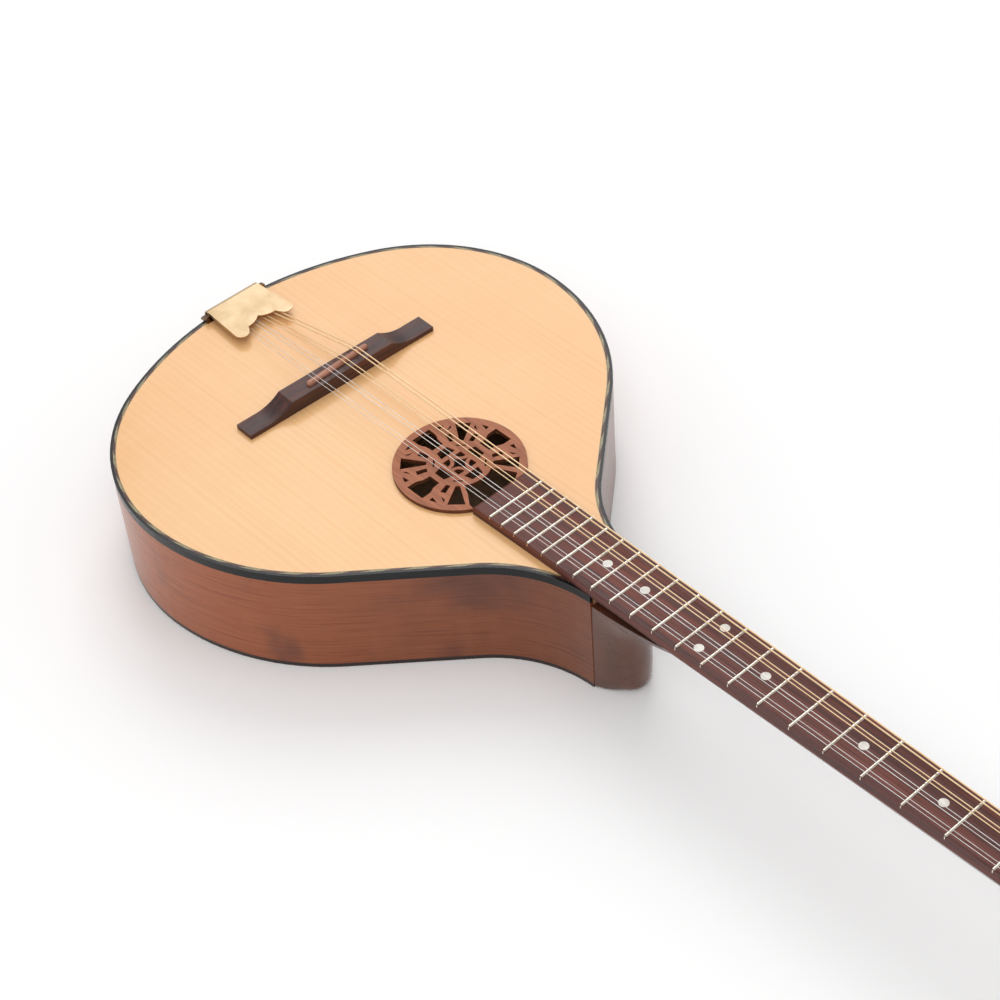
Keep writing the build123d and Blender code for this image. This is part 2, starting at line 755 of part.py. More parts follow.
def fretboard():
    """Tapered board with its slots and dot recesses, then the frets, the dots and the nut."""
    slot_half = 60.0
    with BuildPart() as board:
        with BuildSketch(Plane.XY.offset(deck)):
            with BuildLine():
                Polyline(
                    (at(board_end), -board_half(board_end)),
                    (at(scale_length), -board_half(scale_length)),
                    (at(scale_length), board_half(scale_length)),
                    (at(board_end), board_half(board_end)),
                    close=True,
                )
            make_face()
        extrude(amount=board_thickness)
        end_edge = board.edges().filter_by(Axis.Y).group_by(Axis.X)[0].sort_by(Axis.Z)[-1]
        fillet(end_edge, radius=board_roundover)
        for number in range(1, fret_count + 1):
            place = fret_station(number)
            low = board_top - tang_depth
            cut = slab(place - tang_width / 2, place + tang_width / 2, low, board_top + 1, slot_half)
            add(cut, mode=Mode.SUBTRACT)
        with BuildSketch(Plane.XY.offset(board_top)):
            for station, across in marker_places():
                with Locations((at(station), across)):
                    Circle(marker_radius)
        extrude(amount=-marker_depth, mode=Mode.SUBTRACT)
    keep(board.part, "fretboard")

    with BuildPart() as frets:
        for number in range(1, fret_count + 1):
            place = fret_station(number)
            half = board_half(place)
            with BuildSketch(Plane.XZ):
                with BuildLine():
                    left, right = (at(place) - fret_width / 2, board_top), (at(place) + fret_width / 2, board_top)
                    ThreePointArc(left, (at(place), board_top + fret_crown), right)
                    Line(right, left)
                make_face()
            extrude(amount=half - 0.5, both=True)
            with BuildSketch(Plane.XZ):
                with Locations((at(place), board_top - tang_depth / 2)):
                    Rectangle(tang_width, tang_depth)
            extrude(amount=board_half(place + tang_width / 2), both=True)
    keep(frets.part, "frets")

    with BuildPart() as markers:
        with BuildSketch(Plane.XY.offset(board_top - marker_depth)):
            for station, across in marker_places():
                with Locations((at(station), across)):
                    Circle(marker_radius)
        extrude(amount=marker_depth)
    keep(markers.part, "fret_markers")

    with BuildPart() as nut:
        with BuildSketch(section_plane(scale_length)):
            with BuildLine():
                Polyline(
                    (-board_half_nut, deck),
                    (board_half_nut, deck),
                    (board_half_nut, deck + nut_top - 0.9),
                    (board_half_nut - 1.2, deck + nut_top),
                    (-board_half_nut + 1.2, deck + nut_top),
                    (-board_half_nut, deck + nut_top - 0.9),
                    close=True,
                )
            make_face()
        extrude(amount=nut_thickness)
        for place, radius in zip(nut_places(), string_radius_list()):
            groove = radius + string_gap
            floor = deck + string_nut_height + radius - groove
            middle = (at(scale_length + nut_thickness / 2), place, floor + 5)
            add(Pos(*middle) * Box(nut_thickness + 6, 2 * groove, 10, mode=Mode.PRIVATE), mode=Mode.SUBTRACT)
    keep(nut.part, "nut")


# ---- strings -----------------------------------------------------------------------------------


def string_radius_list():
    """Radius of each of the eight strings, treble first."""
    return [radius for radius in string_radii for _ in range(2)]


def course_places(step, gap, shift):
    """Y of the eight strings where the courses stand a step apart, treble first."""
    places = []
    for course in range(4):
        middle = (course - 1.5) * step + shift
        places += [middle - gap / 2, middle + gap / 2]
    return places


def saddle_places():
    """Y of the eight strings at the saddle."""
    return course_places(course_step_saddle, course_gap_saddle, string_shift_saddle)


def nut_places():
    """Y of the eight strings at the nut."""
    return course_places(course_step_nut, course_gap_nut, string_shift_nut)


def tail_places():
    """Y of the eight strings at the hooks of the tailpiece."""
    return [(index - 3.5) * tail_spacing for index in range(8)]


wind_height = 8.5


def string_route(index):
    """Corner points of one string: hook, saddle, nut and the side of its post."""
    radius = string_radius_list()[index]
    posts = {number: (along, across, side) for number, along, across, side in post_places()}
    along, across, side = posts[index + 1]
    beside = across - side * (post_radius + radius + 0.25)
    end = head_plane(along, beside, headplate_thickness + wind_height).origin
    saddle_y = saddle_places()[index]
    saddle_x_here = at(saddle_station) - (saddle_y - saddle_shift) * sin(radians(saddle_skew))
    return [
        (at(hook_station), tail_places()[index], deck + hook_height + radius),
        (saddle_x_here, saddle_y, deck + string_saddle_height + radius),
        (at(string_break), nut_places()[index], deck + string_nut_height + radius),
        (end.X, end.Y, end.Z),
    ]


def strings():
    """Four double courses, each string a thin tube held straight from hook to saddle to nut to post."""
    radii = string_radius_list()
    for course in range(4):
        with BuildPart() as pair:
            for index in (2 * course, 2 * course + 1):
                with BuildLine() as path:
                    FilletPolyline(*string_route(index), radius=4.0, close=False)
                start = path.line @ 0
                with BuildSketch(Plane(origin=start, z_dir=path.line % 0)):
                    Circle(radii[index])
                sweep(path=path.line)
        keep(pair.part, f"string_course_{course + 1}")


# ---- tuning machines ---------------------------------------------------------------------------

plate_metal, plate_width, plate_margin = 1.2, 15.0, 11.0
plate_face = -head_thickness
gear_face = plate_face - plate_metal - 1.4
worm_height = gear_face - gear_thickness / 2
worm_radius, worm_core, shaft_radius = 3.0, 2.2, 1.5
worm_half, tab_thickness = 4.5, 1.6
tab_places, tab_length, tab_height = (-6.4, 6.4), 5.2, 7.6
button_start, button_length, button_half, button_thick = 41.0, 17.0, 8.0, 6.5
post_top = headplate_thickness + 14.0
plate_screw_places = (10.0, 36.0, 62.0, 86.0)


def tuner_plates():
    """Strip on the back of the head for each row of four machines, with tabs that carry the worms."""
    for name, side in (("tuner_plate_treble", -1), ("tuner_plate_bass", 1)):
        across = side * post_offset
        length = 3 * post_spacing + 2 * plate_margin
        with BuildPart() as plate:
            with BuildSketch(head_plane(first_post + 1.5 * post_spacing, across, plate_face)):
                RectangleRounded(length, plate_width, 3.0)
            extrude(amount=-plate_metal)
            for index in range(4):
                along = first_post + post_spacing * index
                for place in tab_places:
                    tab_middle = across + side * place
                    with BuildSketch(head_plane(along - worm_offset, tab_middle, plate_face)):
                        Rectangle(tab_length, tab_thickness)
                    extrude(amount=-tab_height)
                hole = head_plane(along, across, plate_face)
                with Locations(hole):
                    Hole(radius=post_radius + running_fit, depth=plate_metal)
                axle = Plane(
                    origin=head_plane(along - worm_offset, across, worm_height).origin, z_dir=(0, side, 0)
                )
                with BuildSketch(axle):
                    Circle(shaft_radius + running_fit)
                extrude(amount=plate_width, both=True, mode=Mode.SUBTRACT)
            for place in plate_screw_places:
                with Locations(head_plane(first_post + place, across, plate_face)):
                    Hole(radius=1.2, depth=plate_metal)
        keep(plate.part, name)

    with BuildPart() as screws:
        for side in (-1, 1):
            for place in plate_screw_places:
                face = head_plane(first_post + place, side * post_offset, plate_face - plate_metal)
                with BuildSketch(face):
                    Circle(2.2)
                extrude(amount=-1.0)
                with BuildSketch(face):
                    Circle(1.2)
                extrude(amount=plate_metal)
    keep(screws.part, "tuner_screws")

    with BuildPart() as bushings:
        for _, along, across, _ in post_places():
            with BuildSketch(head_plane(along, across, headplate_thickness)):
                Circle(5.0)
                Circle(post_radius + running_fit, mode=Mode.SUBTRACT)
            extrude(amount=1.0)
            with BuildSketch(head_plane(along, across, headplate_thickness)):
                Circle(bushing_radius)
                Circle(post_radius + running_fit, mode=Mode.SUBTRACT)
            extrude(amount=-8.0)
    keep(bushings.part, "post_bushings")


def gear_outline():
    """Toothed wheel of the machine."""
    points = []
    for tooth in range(gear_teeth):
        for share, radius in ((0.0, 5.2), (0.22, 5.2), (0.36, gear_radius), (0.64, gear_radius), (0.78, 5.2)):
            points.append(polar(radius, (tooth + share) * 360 / gear_teeth))
    with BuildSketch(mode=Mode.PRIVATE) as wheel:
        Polygon(*points, align=None)
    return wheel.sketch


def tuner(number, along, across, side):
    """One machine: string post with its wheel, worm shaft and button."""
    with BuildPart() as post:
        base = head_plane(along, across, gear_face - gear_thickness)
        with BuildSketch(base):
            Circle(post_radius)
        extrude(amount=post_top - gear_face + gear_thickness)
        with BuildSketch(base):
            add(gear_outline())
        extrude(amount=gear_thickness)
        with BuildSketch(base):
            Circle(2.2)
        extrude(amount=-1.4)
        eye = Plane(origin=head_plane(along, across, headplate_thickness + 11.0).origin, z_dir=(0, 1, 0))
        with BuildSketch(eye):
            Circle(0.8)
        extrude(amount=5.0, both=True, mode=Mode.SUBTRACT)
        chamfer(post.faces().sort_by(Axis.Z)[-1].edges(), length=0.6)
    keep(post.part, f"string_post_{number}")

    centre = head_plane(along - worm_offset, across, worm_height)
    outward = (0, side, 0)
    inner_end = tab_places[0] - tab_thickness / 2 - 1.0
    outer_end = button_start - post_offset + 12.0
    with BuildPart() as shaft:
        with BuildSketch(Plane(origin=centre.origin + Vector(0, side * inner_end, 0), z_dir=outward)):
            Circle(shaft_radius)
        extrude(amount=outer_end - inner_end)
        ridges = 5
        pitch = 2 * worm_half / ridges
        for ridge in range(ridges):
            place = -worm_half + pitch * ridge
            low = Plane(origin=centre.origin + Vector(0, side * (place - 0.4), 0), z_dir=outward)
            with BuildSketch(low):
                Circle(worm_core)
            extrude(amount=pitch)
            with BuildSketch(low.offset(pitch * 0.25)):
                Circle(worm_radius)
            extrude(amount=pitch * 0.5, taper=25)
    keep(shaft.part, f"worm_shaft_{number}")

    grip_centre = head_plane(along - worm_offset, side * (button_start + button_length / 2), worm_height)
    with BuildPart() as button:
        with BuildSketch(grip_centre.offset(-button_thick / 2)):
            Ellipse(button_half, button_length / 2)
        extrude(amount=button_thick)
        fillet(button.edges().filter_by(GeomType.ELLIPSE), radius=2.4)
        collar = Plane(origin=centre.origin + Vector(0, side * (button_start - post_offset - 1.5), 0), z_dir=outward)
        with BuildSketch(collar):
            Circle(2.9)
        extrude(amount=5.0)
        with BuildSketch(collar):
            Circle(shaft_radius)
        extrude(amount=outer_end - (button_start - post_offset - 1.5), mode=Mode.SUBTRACT)
    keep(button.part, f"tuner_button_{number}")


# ---- build everything --------------------------------------------------------------------------

body_top()
body_sides()
body_back()
body_frame()
rosette()
bridge()
tailpiece()
neck()
truss_rod()
fretboard()
strings()
tuner_plates()
for machine in post_places():
    tuner(*machine)

os.makedirs("parts", exist_ok=True)
for finished in parts:
    export_step(finished, f"parts/{finished.label}.step")
print(len(parts), "parts written, saddle X", round(saddle_x, 3))
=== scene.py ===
"""Looks of the flat-backed bouzouki: materials, rope purfling, string windings, floor, light and camera."""

import json
from math import cos, pi, radians, sin

import bmesh
import bpy
from mathutils import Matrix, Vector


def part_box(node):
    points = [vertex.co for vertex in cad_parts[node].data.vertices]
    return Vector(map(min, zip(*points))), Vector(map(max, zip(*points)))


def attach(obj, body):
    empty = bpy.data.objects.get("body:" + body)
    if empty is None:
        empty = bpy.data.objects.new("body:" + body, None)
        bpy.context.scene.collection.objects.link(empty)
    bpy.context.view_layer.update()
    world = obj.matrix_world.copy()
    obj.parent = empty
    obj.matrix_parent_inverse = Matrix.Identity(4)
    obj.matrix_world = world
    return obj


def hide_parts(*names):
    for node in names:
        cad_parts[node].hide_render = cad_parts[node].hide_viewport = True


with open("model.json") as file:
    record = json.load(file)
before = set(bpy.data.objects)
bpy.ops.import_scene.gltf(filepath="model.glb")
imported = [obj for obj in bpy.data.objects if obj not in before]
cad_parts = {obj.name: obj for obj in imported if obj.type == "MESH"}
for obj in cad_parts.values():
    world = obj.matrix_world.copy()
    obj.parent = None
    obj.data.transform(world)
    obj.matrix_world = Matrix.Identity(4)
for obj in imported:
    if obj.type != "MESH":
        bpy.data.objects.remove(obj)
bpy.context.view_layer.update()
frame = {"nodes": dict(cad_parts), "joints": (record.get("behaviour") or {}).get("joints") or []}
nodes = frame["nodes"]

MM = 0.001
back_low, back_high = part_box("back_plate")
top_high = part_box("soundboard")[1]
deck = top_high.z
tail_x = back_low.x
neck_x = back_high.x
joints = {joint["name"]: joint for joint in frame["joints"]}


# ---- colours and node graphs -------------------------------------------------------------------


def srgb(red, green, blue):
    """Linear colour from 0-255 display values."""
    made = []
    for value in (red, green, blue):
        share = value / 255
        made.append(share / 12.92 if share <= 0.04045 else ((share + 0.055) / 1.055) ** 2.4)
    return (*made, 1.0)


class Paint:
    """A material and short ways to add nodes to it."""

    def __init__(self, name):
        self.material = bpy.data.materials.new(name)
        self.material.use_nodes = True
        self.tree = self.material.node_tree
        self.shader = self.tree.nodes["Principled BSDF"]
        self.place = self.add("ShaderNodeTexCoord").outputs["Object"]

    def add(self, kind, **settings):
        made = self.tree.nodes.new(kind)
        for key, value in settings.items():
            setattr(made, key, value)
        return made

    def feed(self, socket, value):
        if isinstance(value, bpy.types.NodeSocket):
            self.tree.links.new(value, socket)
        else:
            socket.default_value = value

    def parts(self, vector):
        """X, Y and Z of a vector."""
        split = self.add("ShaderNodeSeparateXYZ")
        self.feed(split.inputs[0], vector)
        return split.outputs[0], split.outputs[1], split.outputs[2]

    def join(self, x, y, z):
        made = self.add("ShaderNodeCombineXYZ")
        for socket, value in zip(made.inputs, (x, y, z)):
            self.feed(socket, value)
        return made.outputs[0]

    def stretched(self, scale, vector=None, shift=(0, 0, 0)):
        """Coordinates scaled along each axis."""
        made = self.add("ShaderNodeMapping")
        self.feed(made.inputs["Vector"], self.place if vector is None else vector)
        made.inputs["Scale"].default_value = scale
        made.inputs["Location"].default_value = shift
        return made.outputs[0]

    def noise(self, vector, detail=4.0, roughness=0.55, distortion=0.0, scale=1.0):
        made = self.add("ShaderNodeTexNoise")
        self.feed(made.inputs["Vector"], vector)
        for key, value in (
            ("Scale", scale),
            ("Detail", detail),
            ("Roughness", roughness),
            ("Distortion", distortion),
        ):
            made.inputs[key].default_value = value
        return made.outputs["Fac"]

    def math(self, operation, first, second=0.0, clamp=False):
        made = self.add("ShaderNodeMath", operation=operation, use_clamp=clamp)
        self.feed(made.inputs[0], first)
        self.feed(made.inputs[1], second)
        return made.outputs[0]

    def ease(self, value, low, high, start=0.0, end=1.0):
        """Smooth step of value between low and high."""
        made = self.add("ShaderNodeMapRange", interpolation_type="SMOOTHSTEP")
        for socket, number in zip(made.inputs, (value, low, high, start, end)):
            self.feed(socket, number)
        return made.outputs[0]

    def mix(self, share, first, second, blend="MIX"):
        made = self.add("ShaderNodeMix", data_type="RGBA", blend_type=blend)
        self.feed(made.inputs[0], share)
        self.feed(made.inputs[6], first)
        self.feed(made.inputs[7], second)
        return made.outputs[2]

    def ramp(self, value, *stops):
        made = self.add("ShaderNodeValToRGB")
        self.feed(made.inputs[0], value)
        items = made.color_ramp.elements
        while len(items) < len(stops):
            items.new(0.5)
        for item, (position, colour) in zip(items, stops):
            item.position = position
            item.color = colour
        return made.outputs[0]

    def bump(self, height, distance, below=None):
        made = self.add("ShaderNodeBump")
        made.inputs["Distance"].default_value = distance
        self.feed(made.inputs["Height"], height)
        if below is not None:
            self.feed(made.inputs["Normal"], below)
        return made.outputs[0]

    def upright(self):
        """1 on faces that stand upright, 0 on level ones."""
        normal = self.add("ShaderNodeNewGeometry").outputs["True Normal"]
        z = self.math("ABSOLUTE", self.parts(normal)[2])
        return self.ease(z, 0.45, 0.75, 1.0, 0.0)

    def finish(self, colour, roughness, normal=None, **fixed):
        """Feeds the shader. Fixed values go straight onto its own sockets."""
        self.feed(self.shader.inputs["Base Color"], colour)
        self.feed(self.shader.inputs["Roughness"], roughness)
        if normal is not None:
            self.feed(self.shader.inputs["Normal"], normal)
        for key, value in fixed.items():
            self.shader.inputs[key.replace("_", " ")].default_value = value
        return self.material


# ---- materials ---------------------------------------------------------------------------------


def spruce():
    """Bookmatched top: fine straight growth lines along the neck, gloss lacquer."""
    p = Paint("spruce_top")
    x, y, z = p.parts(p.place)
    book = p.join(x, p.math("ABSOLUTE", y), z)
    drift = p.noise(p.stretched((3.0, 9.0, 1.0), book), 2.0)
    lines = p.noise(p.stretched((1.2, 620.0, 1.0), book), 2.5, 0.6, 0.35)
    spaced = p.math("ADD", p.math("MULTIPLY", p.math("ABSOLUTE", y), 640.0), p.math("MULTIPLY", drift, 9.0))
    rings = p.math("POWER", p.math("ABSOLUTE", p.math("SINE", spaced)), 3.0)
    fibre = p.noise(p.stretched((30.0, 3000.0, 1.0), book), 2.0, 0.5)
    silk = p.noise(p.stretched((160.0, 18.0, 1.0), book), 3.0, 0.6, 0.8)
    cloud = p.noise(p.stretched((5.0, 7.0, 1.0)), 2.0)
    light, warm, late = srgb(240, 192, 136), srgb(238, 183, 124), srgb(228, 165, 104)
    colour = p.mix(p.ease(cloud, 0.3, 0.7), light, warm)
    colour = p.mix(p.math("MULTIPLY", p.ease(lines, 0.48, 0.72), 0.26), colour, late)
    colour = p.mix(p.math("MULTIPLY", rings, 0.16), colour, late)
    colour = p.mix(p.math("MULTIPLY", p.ease(fibre, 0.5, 0.8), 0.10), colour, late)
    colour = p.mix(p.math("MULTIPLY", p.ease(silk, 0.5, 0.8), 0.07), colour, srgb(255, 226, 184))
    height = p.math("ADD", lines, p.math("MULTIPLY", rings, 0.5))
    return p.finish(
        colour,
        p.ease(fibre, 0.2, 0.8, 0.30, 0.40),
        p.bump(height, 0.00002),
        Coat_Weight=0.35,
        Coat_Roughness=0.12,
        Specular_IOR_Level=0.35,
    )


def stained_maple(name, grain, edge_dark=False, dark=0.0, coat=0.3, neck_shade=0.0):
    """Stained maple under gloss lacquer: fine grain, cloudy dark patches, and painted shade darkening it towards the
    neck.
    """
    p = Paint(name)
    streak = p.noise(p.stretched(grain), 5.0, 0.62, 0.25)
    fine = p.noise(p.stretched(tuple(3.1 * value for value in grain), shift=(0.3, 0.1, 0.7)), 3.0, 0.6)
    cloud = p.noise(p.stretched((13.0, 13.0, 9.0), shift=(4.1, 0.6, 2.2)), 3.0, 0.52, 0.5)
    patch = p.noise(p.stretched((24.0, 24.0, 15.0), shift=(1.7, 5.2, 0.4)), 2.0, 0.5)
    flame = p.noise(p.stretched((95.0, 95.0, 14.0)), 2.0, 0.5, 0.4)
    colour = p.ramp(
        streak,
        (0.26, srgb(142, 72, 34)),
        (0.45, srgb(164, 86, 44)),
        (0.60, srgb(174, 96, 52)),
        (0.80, srgb(186, 108, 62)),
    )
    colour = p.mix(p.math("MULTIPLY", p.ease(fine, 0.45, 0.75), 0.22), colour, srgb(112, 56, 38))
    colour = p.mix(p.math("MULTIPLY", p.ease(flame, 0.5, 0.8), 0.22), colour, srgb(182, 112, 72))
    colour = p.mix(p.math("MULTIPLY", p.ease(cloud, 0.50, 0.70), 0.62), colour, srgb(84, 48, 44))
    colour = p.mix(p.math("MULTIPLY", p.ease(patch, 0.56, 0.72), 0.30), colour, srgb(74, 44, 42))
    if dark:
        colour = p.mix(dark, colour, srgb(52, 34, 30))
    # Painted shade: the colour darkens from near the tail towards the neck.
    if neck_shade:
        near = p.ease(p.parts(p.place)[0], tail_x + 0.10, neck_x, 0.0, neck_shade)
        colour = p.mix(near, colour, srgb(52, 34, 30))
    if edge_dark:
        inside = p.ease(p.parts(p.add("ShaderNodeNewGeometry").outputs["True Normal"])[2], 0.4, 0.8)
        colour = p.mix(inside, colour, srgb(180, 146, 116))
        # Painted shade: the upright edge faces of the back turn almost black.
        colour = p.mix(p.upright(), colour, srgb(40, 26, 24))
    height = p.math("ADD", streak, p.math("MULTIPLY", fine, 0.4))
    return p.finish(
        colour,
        p.ease(streak, 0.2, 0.8, 0.24, 0.36),
        p.bump(height, 0.00003),
        Coat_Weight=coat,
        Coat_Roughness=0.08,
        Specular_IOR_Level=0.25,
    )


def bare_wood(name, light, dark, grain):
    """Unfinished inside wood."""
    p = Paint(name)
    streak = p.noise(p.stretched(grain), 4.0, 0.6, 0.3)
    fine = p.noise(p.stretched(tuple(4 * value for value in grain)), 2.0)
    colour = p.mix(p.ease(streak, 0.3, 0.7), light, dark)
    colour = p.mix(p.math("MULTIPLY", fine, 0.3), colour, dark)
    return p.finish(colour, 0.8, p.bump(streak, 0.0001))


def rosewood(name, light, middle, dark, grain, gloss):
    """Open-pored dark hardwood with streaks and short pores."""
    p = Paint(name)
    streak = p.noise(p.stretched(grain), 5.0, 0.6, 0.5)
    band = p.noise(p.stretched(tuple(0.22 * value for value in grain), shift=(2.0, 0.4, 1.0)), 3.0, 0.5)
    pores = p.noise(p.stretched(tuple(4.5 * value for value in grain), shift=(0.5, 2.0, 0.1)), 1.5, 0.5)
    colour = p.ramp(streak, (0.30, dark), (0.50, middle), (0.72, light))
    colour = p.mix(p.math("MULTIPLY", p.ease(band, 0.45, 0.70), 0.55), colour, dark)
    pit = p.ease(pores, 0.60, 0.70)
    colour = p.mix(p.math("MULTIPLY", pit, 0.55), colour, tuple(0.45 * value for value in dark[:3]) + (1.0,))
    height = p.math("SUBTRACT", p.math("MULTIPLY", streak, 0.3), pit)
    return p.finish(
        colour,
        p.ease(streak, 0.2, 0.8, gloss, gloss + 0.14),
        p.bump(height, 0.00006),
        Specular_IOR_Level=0.42,
    )


def rosette_wood():
    """Cut wood with a satin face; its upright walls are darkened with painted shade."""
    p = Paint("rosette_wood")
    streak = p.noise(p.stretched((24.0, 320.0, 60.0)), 4.0, 0.6, 0.4)
    fine = p.noise(p.stretched((120.0, 1500.0, 400.0)), 2.0, 0.6)
    blotch = p.noise(p.stretched((40.0, 40.0, 40.0)), 3.0, 0.55)
    colour = p.ramp(streak, (0.28, srgb(136, 78, 48)), (0.5, srgb(166, 98, 64)), (0.75, srgb(188, 118, 80)))
    colour = p.mix(p.math("MULTIPLY", p.ease(fine, 0.5, 0.75), 0.30), colour, srgb(112, 64, 46))
    colour = p.mix(p.math("MULTIPLY", p.ease(blotch, 0.5, 0.75), 0.25), colour, srgb(140, 78, 52))
    # Painted shade on the upright walls of the cut openings.
    colour = p.mix(p.math("MULTIPLY", p.upright(), 0.72), colour, srgb(52, 26, 16))
    return p.finish(colour, p.ease(fine, 0.2, 0.8, 0.40, 0.55), p.bump(fine, 0.00005), Specular_IOR_Level=0.35)


def binding_plastic():
    """Black edge binding, scraped and polished."""
    p = Paint("binding")
    scrape = p.noise(p.stretched((60.0, 60.0, 700.0)), 3.0, 0.6)
    speck = p.noise(p.stretched((400.0, 400.0, 400.0)), 2.0, 0.5)
    colour = p.mix(p.ease(scrape, 0.3, 0.8), srgb(10, 11, 12), srgb(24, 26, 27))
    return p.finish(
        colour, p.ease(speck, 0.3, 0.8, 0.22, 0.34), p.bump(scrape, 0.00002), Specular_IOR_Level=0.3
    )


def plated_metal(name, light, dark, rough, brush):
    """Polished metal with faint brushing and smudges."""
    p = Paint(name)
    lines = p.noise(p.stretched(brush), 3.0, 0.6)
    smudge = p.noise(p.stretched((55.0, 55.0, 55.0)), 4.0, 0.6, 0.4)
    colour = p.mix(p.ease(smudge, 0.35, 0.75), light, dark)
    colour = p.mix(p.math("MULTIPLY", lines, 0.15), colour, dark)
    gloss = p.math("ADD", p.ease(smudge, 0.3, 0.8, rough, rough + 0.10), p.math("MULTIPLY", lines, 0.05))
    return p.finish(colour, gloss, p.bump(lines, 0.00001), Metallic=1.0)


def wire(name, light, dark, pitch, depth):
    """String wire: a wound one shows its turns, a plain one its drawing lines."""
    p = Paint(name)
    x, y, z = p.parts(p.place)
    turns = p.math("ABSOLUTE", p.math("SINE", p.math("MULTIPLY", x, pi / pitch)))
    stain = p.noise(p.stretched((90.0, 300.0, 300.0)), 3.0, 0.6)
    colour = p.mix(p.ease(stain, 0.35, 0.75), light, dark)
    # Painted shade in the grooves between the turns of a wound string; a plain string gets the same darker bands.
    colour = p.mix(p.ease(turns, 0.0, 0.5, 0.35, 0.0), colour, dark)
    return p.finish(colour, p.ease(stain, 0.3, 0.8, 0.30, 0.42), p.bump(turns, depth), Metallic=0.55)


def plastic(name, light, dark, rough):
    """Moulded or pearl-like plastic with faint swirls."""
    p = Paint(name)
    swirl = p.noise(p.stretched((160.0, 160.0, 160.0)), 4.0, 0.6, 1.2)
    fine = p.noise(p.stretched((900.0, 900.0, 900.0)), 2.0, 0.5)
    colour = p.mix(p.ease(swirl, 0.35, 0.75), light, dark)
    return p.finish(
        colour, p.ease(fine, 0.2, 0.8, rough, rough + 0.10), p.bump(fine, 0.00001), Coat_Weight=0.3, Coat_Roughness=0.08
    )


def floor_paint():
    """Pale matt floor."""
    p = Paint("studio_floor")
    tone = p.noise(p.stretched((1.2, 1.2, 1.2)), 3.0)
    grit = p.noise(p.stretched((240.0, 240.0, 240.0)), 2.0)
    colour = p.mix(tone, srgb(255, 255, 255), srgb(253, 253, 253))
    return p.finish(colour, 0.9, p.bump(grit, 0.00002), Specular_IOR_Level=0.1)


along_x = (9.0, 420.0, 420.0)
red_light, red_middle, red_dark = srgb(128, 68, 54), srgb(100, 50, 42), srgb(60, 32, 30)
materials = {
    "spruce_top": spruce(),
    # Painted shade: the side wood darkens towards the neck.
    "side_wood": stained_maple("side_wood", (22.0, 22.0, 900.0), neck_shade=0.55),
    # Painted shade: the bass side gets a copy of the side wood that darkens more strongly towards the neck.
    "side_wood_painted_shade": stained_maple("side_wood_painted_shade", (22.0, 22.0, 900.0), neck_shade=0.9),
    # edge_dark adds painted shade on the back's upright edges and paler bare wood on its inside face.
    "back_wood": stained_maple("back_wood", (14.0, 520.0, 26.0), edge_dark=True),
    "neck_wood": stained_maple("neck_wood", (16.0, 90.0, 90.0), dark=0.78, coat=0.8),
    "inner_wood": bare_wood("inner_wood", srgb(190, 152, 116), srgb(150, 112, 80), (20.0, 300.0, 300.0)),
    "brace_spruce": bare_wood("brace_spruce", srgb(214, 180, 134), srgb(180, 140, 96), (300.0, 14.0, 300.0)),
    "rosette_wood": rosette_wood(),
    "bridge_wood": rosewood(
        "bridge_wood", srgb(104, 58, 46), srgb(74, 42, 36), srgb(44, 30, 30), (420.0, 12.0, 420.0), 0.34
    ),
    "saddle_wood": rosewood(
        "saddle_wood", srgb(196, 142, 118), srgb(170, 116, 94), srgb(140, 90, 72), (500.0, 14.0, 500.0), 0.40
    ),
    "board_wood": rosewood("board_wood", red_light, red_middle, red_dark, along_x, 0.42),
    "plate_wood": rosewood("plate_wood", red_light, red_middle, red_dark, (9.0, 420.0, 60.0), 0.22),
    "binding": binding_plastic(),
    "tail_metal": plated_metal("tail_metal", srgb(206, 182, 148), srgb(194, 168, 132), 0.38, (900.0, 12.0, 900.0)),
    # The tailpiece base is a dark copy of the tailpiece metal: painted shade and painted dark reflection.
    "base_metal_painted_shade": plated_metal("base_metal_painted_shade", srgb(150, 118, 84), srgb(70, 50, 38), 0.30, (900.0, 12.0, 900.0)),
    "fret_wire": plated_metal("fret_wire", srgb(236, 228, 214), srgb(206, 196, 182), 0.20, (900.0, 30.0, 900.0)),
    "steel": plated_metal("steel", srgb(200, 200, 200), srgb(150, 150, 150), 0.24, (30.0, 900.0, 900.0)),
    "tuner_metal": plated_metal("tuner_metal", srgb(226, 226, 224), srgb(186, 186, 186), 0.12, (30.0, 900.0, 900.0)),
    "string_steel": wire("string_steel", srgb(246, 244, 240), srgb(208, 206, 203), 0.0011, 0.000004),
    "string_bronze": wire("string_bronze", srgb(255, 226, 184), srgb(244, 206, 158), 0.00032, 0.000012),
    "pearl": plastic("pearl", srgb(228, 224, 214), srgb(206, 200, 192), 0.22),
    "bone": plastic("bone", srgb(226, 218, 196), srgb(208, 196, 168), 0.38),
    "black_plastic": plastic("black_plastic", srgb(26, 26, 26), srgb(16, 16, 16), 0.18),
    "button_plastic": plastic("button_plastic", srgb(232, 226, 206), srgb(212, 202, 176), 0.20),
}

